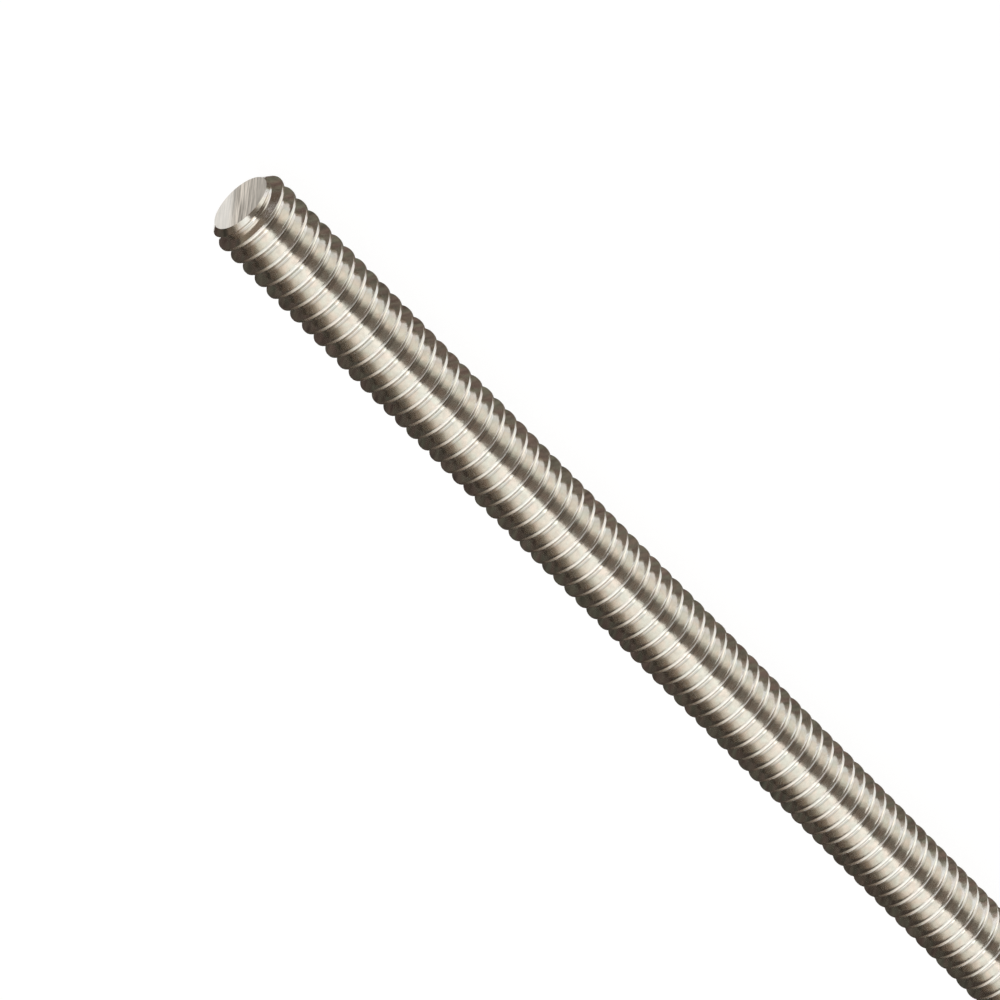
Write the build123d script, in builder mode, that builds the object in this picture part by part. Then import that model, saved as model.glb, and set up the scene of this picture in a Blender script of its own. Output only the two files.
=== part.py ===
from build123d import *
import os
from math import radians, tan

os.makedirs("parts", exist_ok=True)

# A straight rod with a right-hand unified coarse thread from end to end, size 1/4-20.
# It lies along X with its middle at the origin, and its sawn end at -X is the one in the photograph.
# All sizes are in millimetres.

# Driving dimensions
inch = 25.4
rod_length = 4 * inch
major_diameter = 6.25
end_face_diameter = 4.68
chamfer_angle = 45

# Places
major_radius = major_diameter / 2
end_face_radius = end_face_diameter / 2
left_end = -rod_length / 2
right_end = rod_length / 2
chamfer_length = (major_radius - end_face_radius) / tan(radians(chamfer_angle))

# Threaded rod: the round bar over the crests of its thread, with both sawn ends chamfered
with BuildPart() as threaded_rod:
    with BuildSketch(Plane.XZ):
        with BuildLine():
            Polyline(
                (left_end, 0),
                (left_end, end_face_radius),
                (left_end + chamfer_length, major_radius),
                (right_end - chamfer_length, major_radius),
                (right_end, end_face_radius),
                (right_end, 0),
                close=True,
            )
        make_face()
    revolve(axis=Axis.X)

threaded_rod.part.label = "threaded_rod"
export_step(threaded_rod.part, "parts/threaded_rod.step")
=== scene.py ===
import math

import bmesh
import bpy
import numpy as np
from mathutils import Matrix, Vector, noise


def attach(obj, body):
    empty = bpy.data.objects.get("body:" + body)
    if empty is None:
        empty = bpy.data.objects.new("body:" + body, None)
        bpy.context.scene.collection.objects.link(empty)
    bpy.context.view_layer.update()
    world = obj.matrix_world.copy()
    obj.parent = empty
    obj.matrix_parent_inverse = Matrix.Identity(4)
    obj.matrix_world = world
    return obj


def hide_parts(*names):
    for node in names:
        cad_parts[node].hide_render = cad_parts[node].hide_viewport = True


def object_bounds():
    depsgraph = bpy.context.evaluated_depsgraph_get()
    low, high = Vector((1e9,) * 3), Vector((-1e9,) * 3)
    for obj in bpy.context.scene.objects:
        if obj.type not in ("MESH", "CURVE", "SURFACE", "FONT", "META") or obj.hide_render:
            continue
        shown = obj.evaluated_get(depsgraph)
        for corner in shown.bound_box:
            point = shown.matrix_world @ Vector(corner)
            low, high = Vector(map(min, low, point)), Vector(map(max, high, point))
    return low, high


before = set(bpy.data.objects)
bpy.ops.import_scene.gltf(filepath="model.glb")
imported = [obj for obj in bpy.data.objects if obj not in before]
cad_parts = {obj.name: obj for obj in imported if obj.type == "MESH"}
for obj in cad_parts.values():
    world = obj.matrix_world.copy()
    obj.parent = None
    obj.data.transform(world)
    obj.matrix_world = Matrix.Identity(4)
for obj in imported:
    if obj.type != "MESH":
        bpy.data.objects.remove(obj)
cad_low, cad_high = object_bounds()

# Driving sizes of the rod, in metres
mm = 0.001
pitch = 1.27 * mm
crest_radius = cad_high.z
left_end = cad_low.x
right_end = cad_high.x
end_face_radius = 2.34 * mm
chamfer_slope = 1.0

# From the sawn end at -X to the middle of the first crest, along the top of the rod
first_crest = 1.106 * mm

# Thread form: 60 degree flanks, a narrow crest with softened edges and a round root
flank_turn = math.radians(60)
crest_flat = pitch / 6
crest_edge_round = 0.05 * mm
root_round = 0.156 * pitch

# Fineness of the mesh
columns = 60
crest_edge_steps = 2
flank_margin = 0.012 * mm
root_steps = 4
spare_turns = 2
weld = 0.004 * mm
shortest_edge = weld / 10
crisp_turn = math.radians(35)

# Waves that rolling leaves in the surface
long_wave = 1.9 * mm
long_wave_height = 0.006 * mm
short_wave = 0.55 * mm
short_wave_height = 0.003 * mm
short_wave_start = Vector((7, 3, 1))


def half_profile():
    """Points (distance from the crest's middle, depth below it) from there to the root's middle."""
    slope = math.tan(flank_turn)
    tangent = crest_edge_round * math.tan(flank_turn / 2)
    points = []
    for i in range(crest_edge_steps + 1):
        turn = flank_turn * i / crest_edge_steps
        along = crest_flat / 2 - tangent + crest_edge_round * math.sin(turn)
        points.append((along, crest_edge_round * (1 - math.cos(turn))))
    top_along, top_depth = points[-1]
    root_start = pitch / 2 - root_round * math.sin(flank_turn)
    root_depth = top_depth + (root_start - top_along) * slope
    for along in (top_along + flank_margin, root_start - flank_margin):
        points.append((along, top_depth + (along - top_along) * slope))
    for i in range(root_steps + 1):
        turn = flank_turn * (1 - i / root_steps)
        along = pitch / 2 - root_round * math.sin(turn)
        depth = root_depth + root_round * (math.cos(turn) - math.cos(flank_turn))
        points.append((along, depth))
    return points


def pitch_profile():
    """One pitch from the far edge of a crest over the root to the near edge of the next crest."""
    down = half_profile()
    return down + [(pitch - along, depth) for along, depth in down[-2::-1]]


def end_limit(x):
    """The radius that the two chamfered ends leave at x."""
    from_end = np.minimum(x - left_end, right_end - x)
    return end_face_radius + from_end * chamfer_slope


def snap_to_zero(x, radius, gap):
    """Moves the nearer point of each pair that straddles gap = 0 onto it, so an edge stays crisp."""
    for i in np.nonzero(gap[:-1] * gap[1:] < 0)[0]:
        share = gap[i] / (gap[i] - gap[i + 1])
        spot_x = x[i] + (x[i + 1] - x[i]) * share
        spot_radius = radius[i] + (radius[i + 1] - radius[i]) * share
        near = i if share < 0.5 else i + 1
        x[near] = spot_x
        radius[near] = spot_radius


def thread_column(angle, profile):
    """Points (x, radius) of the rod's surface along its whole length at one angle from the top."""
    turns = math.ceil((right_end - left_end) / pitch) + 2 * spare_turns
    start = left_end + first_crest - spare_turns * pitch + pitch * angle / math.tau
    x = np.array([start + pitch * k + along for k in range(turns) for along, _ in profile])
    radius = np.array([crest_radius - depth for _ in range(turns) for _, depth in profile])
    snap_to_zero(x, radius, radius - end_limit(x))
    radius = np.minimum(radius, end_limit(x))
    snap_to_zero(x, radius, x - left_end)
    snap_to_zero(x, radius, x - right_end)
    radius[(x <= left_end) | (x >= right_end)] = end_face_radius
    return np.clip(x, left_end, right_end), radius


def waviness(x, y, z):
    """How far the rolled surface stands off its true form at one point."""
    spot = Vector((x, y, z))
    slow = noise.noise(spot / long_wave)
    quick = noise.noise(spot / short_wave + short_wave_start)
    return long_wave_height * slow + short_wave_height * quick


def rod_mesh():
    """A grid of columns along the rod. The last one joins the first a pitch farther on."""
    profile = pitch_profile()
    verts = []
    for j in range(columns):
        angle = math.tau * j / columns
        side, top = -math.sin(angle), math.cos(angle)
        for x, radius in zip(*thread_column(angle, profile)):
            if left_end < x < right_end:
                radius += waviness(x, radius * side, radius * top)
            verts.append((x, radius * side, radius * top))
    rows = len(verts) // columns
    faces = []
    for j in range(columns):
        beyond = (j + 1) % columns
        shift = len(profile) if beyond == 0 else 0
        for i in range(rows - 1 - shift):
            a = j * rows + i
            b = beyond * rows + i + shift
            faces.append((a, b, b + 1, a + 1))
    mesh = bpy.data.meshes.new("threaded_rod_surface")
    mesh.from_pydata(verts, [], faces)
    return mesh


def close_ends(mesh):
    """Welds the rows gathered at each end into one rim and fills it with a flat face."""
    bm = bmesh.new()
    bm.from_mesh(mesh)
    bmesh.ops.remove_doubles(bm, verts=bm.verts, dist=weld)
    bmesh.ops.dissolve_degenerate(bm, dist=shortest_edge, edges=bm.edges)
    rim = [edge for edge in bm.edges if edge.is_boundary]
    bmesh.ops.holes_fill(bm, edges=rim, sides=0)
    bmesh.ops.recalc_face_normals(bm, faces=bm.faces)
    bm.to_mesh(mesh)
    bm.free()
    for polygon in mesh.polygons:
        polygon.use_smooth = True
    mesh.set_sharp_from_angle(angle=crisp_turn)


# Sockets of a mix node while it mixes colours
mix_share = 0
mix_first = 6
mix_second = 7
mix_result = 2


class Tree:
    """Short words for building the nodes of one material or of the world."""

    def __init__(self, owner):
        owner.use_nodes = True
        self.owner = owner
        self.nodes = owner.node_tree.nodes
        self.links = owner.node_tree.links

    def feed(self, socket, value):
        """Links the socket to another one, or sets it to a plain value."""
        if isinstance(value, bpy.types.NodeSocket):
            self.links.new(value, socket)
        else:
            socket.default_value = value

    def maths(self, operation, first, second=0.0):
        node = self.nodes.new("ShaderNodeMath")
        node.operation = operation
        self.feed(node.inputs[0], first)
        self.feed(node.inputs[1], second)
        return node.outputs[0]

    def plus(self, first, second):
        return self.maths("ADD", first, second)

    def minus(self, first, second):
        return self.maths("SUBTRACT", first, second)

    def times(self, first, second):
        return self.maths("MULTIPLY", first, second)

    def remap(self, value, low, high, to_low=0.0, to_high=1.0, smooth=False):
        node = self.nodes.new("ShaderNodeMapRange")
        if smooth:
            node.interpolation_type = "SMOOTHSTEP"
        self.feed(node.inputs["Value"], value)
        self.feed(node.inputs["From Min"], low)
        self.feed(node.inputs["From Max"], high)
        self.feed(node.inputs["To Min"], to_low)
        self.feed(node.inputs["To Max"], to_high)
        return node.outputs[0]

    def mix(self, share, first, second, blend="MIX"):
        node = self.nodes.new("ShaderNodeMix")
        node.data_type = "RGBA"
        node.blend_type = blend
        self.feed(node.inputs[mix_share], share)
        self.feed(node.inputs[mix_first], first)
        self.feed(node.inputs[mix_second], second)
        return node.outputs[mix_result]

    def place(self):
        """The object coordinates x, y and z."""
        node = self.nodes.new("ShaderNodeTexCoord")
        parts = self.nodes.new("ShaderNodeSeparateXYZ")
        self.links.new(node.outputs["Object"], parts.inputs[0])
        return parts.outputs

    def noise(self, place, sizes, detail, roughness=0.5):
        """Noise between 0 and 1, about as coarse along each coordinate as the size given for it."""
        vector = self.nodes.new("ShaderNodeCombineXYZ")
        for socket, part, size in zip(vector.inputs, place, sizes):
            self.feed(socket, self.maths("DIVIDE", part, size))
        node = self.nodes.new("ShaderNodeTexNoise")
        node.inputs["Scale"].default_value = 1
        node.inputs["Detail"].default_value = detail
        node.inputs["Roughness"].default_value = roughness
        self.links.new(vector.outputs[0], node.inputs["Vector"])
        return node.outputs[0]

    def bump(self, height, distance, strength, normal=None):
        node = self.nodes.new("ShaderNodeBump")
        node.inputs["Distance"].default_value = distance
        self.feed(node.inputs["Strength"], strength)
        self.links.new(height, node.inputs["Height"])
        if normal is not None:
            self.links.new(normal, node.inputs["Normal"])
        return node.outputs[0]

    def seen(self):
        """1 on rays that come from the picture, a reflection or a clear body, and 0 on the rest."""
        path = self.nodes.new("ShaderNodeLightPath")
        direct = self.maths("MAXIMUM", path.outputs["Is Camera Ray"], path.outputs["Is Glossy Ray"])
        return self.maths("MAXIMUM", direct, path.outputs["Is Transmission Ray"])


def glow_tree(name):
    """The tree of a material that only gives light, and its glow."""
    tree = Tree(bpy.data.materials.new(name))
    tree.nodes.clear()
    output = tree.nodes.new("ShaderNodeOutputMaterial")
    glow = tree.nodes.new("ShaderNodeEmission")
    tree.links.new(glow.outputs[0], output.inputs["Surface"])
    return tree, glow


# Where a noise changes from one tone to the other, quickly or slowly
noise_turn = (0.4, 0.6)
noise_span = (0.3, 0.7)

# How much finer detail a noise has within its main size
soft_detail = 1
some_detail = 2
rich_detail = 3

# Rolled steel: streaks run round the thread, and mottles, grain and tint run no way
streak_sizes = (0.07 * mm, 1.6 * mm, 1.6 * mm)
streak_height = 0.0012 * mm
mottle_sizes = (0.38 * mm,) * 3
mottle_height = 0.007 * mm
mottle_span = (0.42, 0.72)
mottle_most = 0.4
grain_sizes = (0.09 * mm,) * 3
grain_height = 0.0004 * mm
tint_sizes = (0.8 * mm,) * 3
rolled_warm = (0.81, 0.768, 0.724, 1)
rolled_cool = (0.768, 0.772, 0.735, 1)
rolled_mottle = (0.68, 0.64, 0.60, 1)
rolled_roughness = (0.12, 0.19)

# The crests are a little duller than the flanks
crest_band = (crest_radius - 0.03 * mm, crest_radius - 0.01 * mm)
crest_dullness = 0.09

# Sawn faces: fine and broad scratches run one way across them, and one side is smoother
sawn_depth = 0.002 * mm
saw_lean = math.radians(26.5)
unchanged_through = 1.0
fine_sizes = (0.12 * mm, 3.6 * mm, unchanged_through)
fine_roughness = 0.55
fine_share = 0.7
broad_sizes = (0.36 * mm, 7.0 * mm, unchanged_through)
scratch_height = 0.035 * mm
smooth_side = (-0.3 * mm, -1.2 * mm)
smooth_most = 0.8
smooth_scratches = 0.2
dark_side = (0, 2.0 * mm)
dark_most = 0.65
cut_dark = (0.20, 0.178, 0.148, 1)
cut_pale = (0.73, 0.665, 0.585, 1)
cut_shade = (0.36, 0.335, 0.295, 1)
cut_smooth = (0.785, 0.76, 0.715, 1)
sawn_dullness = 0.2


def saw_marks(tree, place):
    """Height (0 to 1) of the scratches that the saw left, and the distance across them."""
    x, y, z = place
    lean_cos, lean_sin = math.cos(saw_lean), math.sin(saw_lean)
    across = tree.plus(tree.times(y, lean_cos), tree.times(z, lean_sin))
    along = tree.minus(tree.times(z, lean_cos), tree.times(y, lean_sin))
    fine = tree.noise((across, along, x), fine_sizes, rich_detail, fine_roughness)
    broad = tree.noise((across, along, x), broad_sizes, soft_detail)
    height = tree.plus(tree.times(fine, fine_share), tree.times(broad, 1 - fine_share))
    return height, across


def rolled_colour(tree, place, mottles):
    tint = tree.noise(place, tint_sizes, soft_detail)
    plain = tree.mix(tree.remap(tint, *noise_turn), rolled_warm, rolled_cool)
    return tree.mix(tree.remap(mottles, *mottle_span, 0, mottle_most), plain, rolled_mottle)


def sawn_colour(tree, marks, across, smoother):
    scratched = tree.mix(tree.remap(marks, *noise_turn), cut_dark, cut_pale)
    shaded = tree.mix(tree.remap(across, *dark_side, 0, dark_most), scratched, cut_shade)
    return tree.mix(tree.times(smoother, smooth_most), shaded, cut_smooth)


def steel_material():
    """Rolled steel on the thread and sawn steel on both end faces."""
    tree = Tree(bpy.data.materials.new("steel"))
    shader = tree.nodes["Principled BSDF"]
    shader.inputs["Metallic"].default_value = 1

    place = tree.place()
    x, y, z = place
    sawn = tree.maths("GREATER_THAN", tree.maths("ABSOLUTE", x), right_end - sawn_depth)
    from_axis = tree.maths("SQRT", tree.plus(tree.times(y, y), tree.times(z, z)))
    crest = tree.remap(from_axis, *crest_band)
    streaks = tree.noise(place, streak_sizes, some_detail)
    mottles = tree.noise(place, mottle_sizes, some_detail)
    grain = tree.noise(place, grain_sizes, some_detail)
    marks, across = saw_marks(tree, place)
    smoother = tree.remap(across, *smooth_side, smooth=True)

    rolled = rolled_colour(tree, place, mottles)
    cut = sawn_colour(tree, marks, across, smoother)
    tree.feed(shader.inputs["Base Color"], tree.mix(sawn, rolled, cut))

    roughness = tree.remap(mottles, *noise_span, *rolled_roughness)
    roughness = tree.plus(roughness, tree.times(crest, crest_dullness))
    roughness = tree.plus(roughness, tree.times(sawn, sawn_dullness))
    tree.feed(shader.inputs["Roughness"], roughness)

    on_rolled = tree.minus(1.0, sawn)
    on_sawn = tree.times(sawn, tree.remap(smoother, 0, 1, 1, smooth_scratches))
    normal = tree.bump(mottles, mottle_height, on_rolled)
    normal = tree.bump(streaks, streak_height, on_rolled, normal)
    normal = tree.bump(grain, grain_height, on_rolled, normal)
    normal = tree.bump(marks, scratch_height, on_sawn, normal)
    tree.feed(shader.inputs["Normal"], normal)
    return tree.owner


def sheet(name, corners, material):
    """One flat face with the given corners."""
    mesh = bpy.data.meshes.new(name)
    mesh.from_pydata(corners, [], [range(len(corners))])
    mesh.materials.append(material)
    made = bpy.data.objects.new(name, mesh)
    bpy.context.scene.collection.objects.link(made)
    return made


def level_corners(x_low, x_high, y_low, y_high, height):
    """Corners of a level rectangle."""
    near = [(x_low, y_low, height), (x_high, y_low, height)]
    far = [(x_high, y_high, height), (x_low, y_high, height)]
    return near + far


# Floor: pale, and plain white where it is seen
floor_z = cad_low.z
floor_reach = 3.0
floor_grey = (0.16, 0.16, 0.16, 1)
floor_glow = 0.935


def floor_material():
    tree, glow = glow_tree("floor")
    tree.feed(glow.inputs["Strength"], tree.times(tree.seen(), floor_glow))
    diffuse = tree.nodes.new("ShaderNodeBsdfDiffuse")
    diffuse.inputs["Color"].default_value = floor_grey
    both = tree.nodes.new("ShaderNodeAddShader")
    tree.links.new(diffuse.outputs[0], both.inputs[0])
    tree.links.new(glow.outputs[0], both.inputs[1])
    tree.links.new(both.outputs[0], tree.nodes["Material Output"].inputs["Surface"])
    return tree.owner


floor_corners = level_corners(-floor_reach, floor_reach, -floor_reach, floor_reach, floor_z)
floor = sheet("floor", floor_corners, floor_material())


# The rod
surface = rod_mesh()
close_ends(surface)
surface.materials.append(steel_material())
rod = bpy.data.objects.new("threaded_rod_finished", surface)
bpy.context.scene.collection.objects.link(rod)
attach(rod, "root")
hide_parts("threaded_rod")


# Light tent: a half tube of cloth over the rod, lit in long bands that run along it
tent_radius = 0.7
tent_start = -6 * tent_radius
tent_stop = 0.9 * tent_radius
tent_sides = 48

# The bands: degrees from straight up, towards +Y, and the light there
tent_bands = (
    (-90, (0.20, 0.165, 0.13)),
    (-82, (0.30, 0.235, 0.18)),
    (-72, (0.46, 0.39, 0.30)),
    (-61, (0.98, 0.90, 0.80)),
    (-48, (1.25, 1.21, 1.11)),
    (-32, (1.42, 1.40, 1.33)),
    (-14, (1.48, 1.46, 1.40)),
    (-9, (1.60, 1.57, 1.51)),
    (1, (1.58, 1.55, 1.48)),
    (7, (0.25, 0.21, 0.17)),
    (18, (0.20, 0.16, 0.13)),
    (42, (0.21, 0.175, 0.14)),
    (58, (1.08, 1.02, 0.89)),
    (68, (1.42, 1.37, 1.24)),
    (90, (1.52, 1.48, 1.37)),
)
band_peak = 1.7
askew_from = math.radians(50)
askew_until = math.radians(6)
askew_per_metre = math.radians(9) / tent_radius
seen_in_flanks = 0.57 * tent_radius
overhead_light = 0.56
ahead_light = 0.80
ahead_reach = 2 * tent_radius


def band_colours(tree, angle):
    """The bands' colours at an angle from straight up, as shares of the peak."""
    ramp = tree.nodes.new("ShaderNodeValToRGB")
    stops = ramp.color_ramp.elements
    while len(stops) < len(tent_bands):
        stops.new(0.5)
    for stop, (degrees, colour) in zip(stops, tent_bands):
        stop.position = math.radians(degrees) / math.pi + 0.5
        stop.color = (*[part / band_peak for part in colour], 1)
    tree.feed(ramp.inputs[0], tree.remap(angle, -math.pi / 2, math.pi / 2))
    return ramp.outputs[0]


def tent_material():
    """Bands that run a little askew, except low on the +Y side, on cloth that is dimmest above the rod."""
    tree, glow = glow_tree("tent")
    x, y, z = tree.place()
    angle = tree.maths("ARCTAN2", y, z)
    askew = tree.times(tree.minus(x, seen_in_flanks), askew_per_metre)
    askew = tree.times(askew, tree.remap(angle, askew_from, askew_until))
    tree.feed(glow.inputs["Color"], band_colours(tree, tree.minus(angle, askew)))
    behind = tree.remap(x, 0, seen_in_flanks, overhead_light * band_peak, band_peak)
    ahead = tree.remap(x, 0, -ahead_reach, 0, (ahead_light - overhead_light) * band_peak)
    tree.feed(glow.inputs["Strength"], tree.plus(behind, ahead))
    return tree.owner


def tent_spot(x, turn, radius):
    """A point at a turn from straight up, towards +Y."""
    return (x, math.sin(turn) * radius, math.cos(turn) * radius)


def make_tent():
    verts = []
    for i in range(tent_sides + 1):
        turn = math.pi * (i / tent_sides - 0.5)
        verts += [tent_spot(tent_start, turn, tent_radius), tent_spot(tent_stop, turn, tent_radius)]
    faces = [(2 * i, 2 * i + 1, 2 * i + 3, 2 * i + 2) for i in range(tent_sides)]
    mesh = bpy.data.meshes.new("tent")
    mesh.from_pydata(verts, [], faces)
    mesh.materials.append(tent_material())
    made = bpy.data.objects.new("tent", mesh)
    bpy.context.scene.collection.objects.link(made)
    made.visible_camera = False


make_tent()


# Uneven cards that only the rod's reflections see
card_tint_sizes = (2.6 * mm,) * 3
card_reddish = (1.12, 0.98, 0.98, 1)
card_greenish = (0.92, 1.02, 0.94, 1)
card_light_sizes = (1.3 * mm,) * 3
card_light = (0.55, 1.45)


def card_material(name, colour):
    tree, glow = glow_tree(name)
    place = tree.place()
    tint = tree.remap(tree.noise(place, card_tint_sizes, soft_detail), *noise_turn)
    tinted = tree.mix(tint, card_reddish, card_greenish)
    tree.feed(glow.inputs["Color"], tree.mix(1.0, tinted, (*colour, 1), "MULTIPLY"))
    light = tree.noise(place, card_light_sizes, some_detail)
    tree.feed(glow.inputs["Strength"], tree.remap(light, *noise_span, *card_light))
    return tree.owner


def reflection_card(name, corners, colour):
    made = sheet(name, corners, card_material(name, colour))
    made.visible_camera = False
    made.visible_diffuse = False
    made.visible_shadow = False
    made.visible_transmission = False


# Edges of the cards on the floor, as distances from the rod's middle
card_height = floor_z + 0.05 * mm
end_window = 8 * mm
window_back = left_end + end_window
window_front = left_end - end_window
under_rod = (3 * mm,) * 3
beside_rod = (8 * mm,) * 3
near_side_edge = (14 * mm,) * 3
far_side_inner_edge = (8.5 * mm, 10.5 * mm, 9 * mm)
far_side_outer_edge = (10 * mm, 16.5 * mm, 10 * mm)
ahead_width = 14 * mm
brown_stop = 1.6 * tent_radius


def side_card(name, side, inner, outer, colour):
    """A card on the floor between two edges along one side of the rod, 1 towards +Y or -1 towards -Y.
    Each edge has its distance at the rod's far end, beside the sawn end and ahead of it."""
    places = (right_end, window_back, window_front)
    inward = [(x, side * away, card_height) for x, away in zip(places, inner)]
    outward = [(x, side * away, card_height) for x, away in zip(places, outer)]
    reflection_card(name, outward + inward[::-1], colour)


def floor_card(name, x_high, y_low, y_high, colour):
    """A level card from the tent's start to x_high."""
    reflection_card(name, level_corners(tent_start, x_high, y_low, y_high, card_height), colour)


side_card("far_side_near", 1, under_rod, beside_rod, (0.165, 0.138, 0.115))
side_card("far_side_middle", 1, beside_rod, far_side_inner_edge, (0.14, 0.11, 0.083))
side_card("far_side_edge", 1, far_side_inner_edge, far_side_outer_edge, (0.36, 0.32, 0.27))
side_card("near_side_near", -1, under_rod, beside_rod, (0.08, 0.068, 0.057))
side_card("near_side_far", -1, beside_rod, near_side_edge, (0.05, 0.041, 0.034))
floor_card("near_side_brown", brown_stop, -tent_radius, -ahead_width, (0.13, 0.104, 0.082))
floor_card("ahead_far_side", window_front, 0, ahead_width, (0.12, 0.09, 0.068))
floor_card("ahead_near_side", window_front, -ahead_width, 0, (0.24, 0.19, 0.148))

# A dark card closes the tent far ahead of the sawn end
tent_end_corners = [
    (tent_start, -tent_radius, floor_z),
    (tent_start, tent_radius, floor_z),
    (tent_start, tent_radius, tent_radius),
    (tent_start, -tent_radius, tent_radius),
]
reflection_card("tent_end", tent_end_corners, (0.08, 0.065, 0.05))

# A lamp shows through the cloth as a short bright strip almost straight above the rod
lamp_radius = 0.95 * tent_radius
lamp_start = -0.45 * tent_radius
lamp_stop = 0.1 * tent_radius
lamp_outer = math.radians(-13)
lamp_inner = math.radians(-1)
lamp_corners = [
    tent_spot(lamp_start, lamp_outer, lamp_radius),
    tent_spot(lamp_stop, lamp_outer, lamp_radius),
    tent_spot(lamp_stop, lamp_inner, lamp_radius),
    tent_spot(lamp_start, lamp_inner, lamp_radius),
]
reflection_card("lamp_strip", lamp_corners, (1.9, 1.9, 1.85))


# World: plain white where it is seen, and a dim fill on the rest
dim_fill = 0.15


def make_world():
    tree = Tree(bpy.data.worlds.new("studio"))
    bpy.context.scene.world = tree.owner
    background = tree.nodes["Background"]
    background.inputs["Color"].default_value = (1, 1, 1, 1)
    tree.feed(background.inputs["Strength"], tree.remap(tree.seen(), 0, 1, dim_fill, 1))


make_world()

# Camera: high up ahead of the sawn end, looking down on the rod, which runs across the picture at a slant
camera_spot = Vector((-233.625, 0, 410.38)) * mm
camera_aim = Vector((-20.43, -1.80, 0)) * mm
camera_roll = math.radians(-135.58)
focal_pixels = 6550.6
picture_pixels = 1000
sensor_width = 36
nearest_seen = 0.01
farthest_seen = 20


def make_camera():
    data = bpy.data.cameras.new("camera")
    data.sensor_width = sensor_width
    data.lens = focal_pixels / picture_pixels * sensor_width
    data.clip_start = nearest_seen
    data.clip_end = farthest_seen
    camera = bpy.data.objects.new("camera", data)
    forward = (camera_aim - camera_spot).normalized()
    level = forward.cross(Vector((0, 0, 1))).normalized()
    upright = level.cross(forward)
    up = upright * math.cos(camera_roll) + level * math.sin(camera_roll)
    right = forward.cross(up)
    turned = Matrix((right, up, -forward)).transposed()
    camera.matrix_world = Matrix.LocRotScale(camera_spot, turned, None)
    bpy.context.scene.collection.objects.link(camera)
    bpy.context.scene.camera = camera


make_camera()
bpy.context.scene.view_settings.view_transform = "Standard"
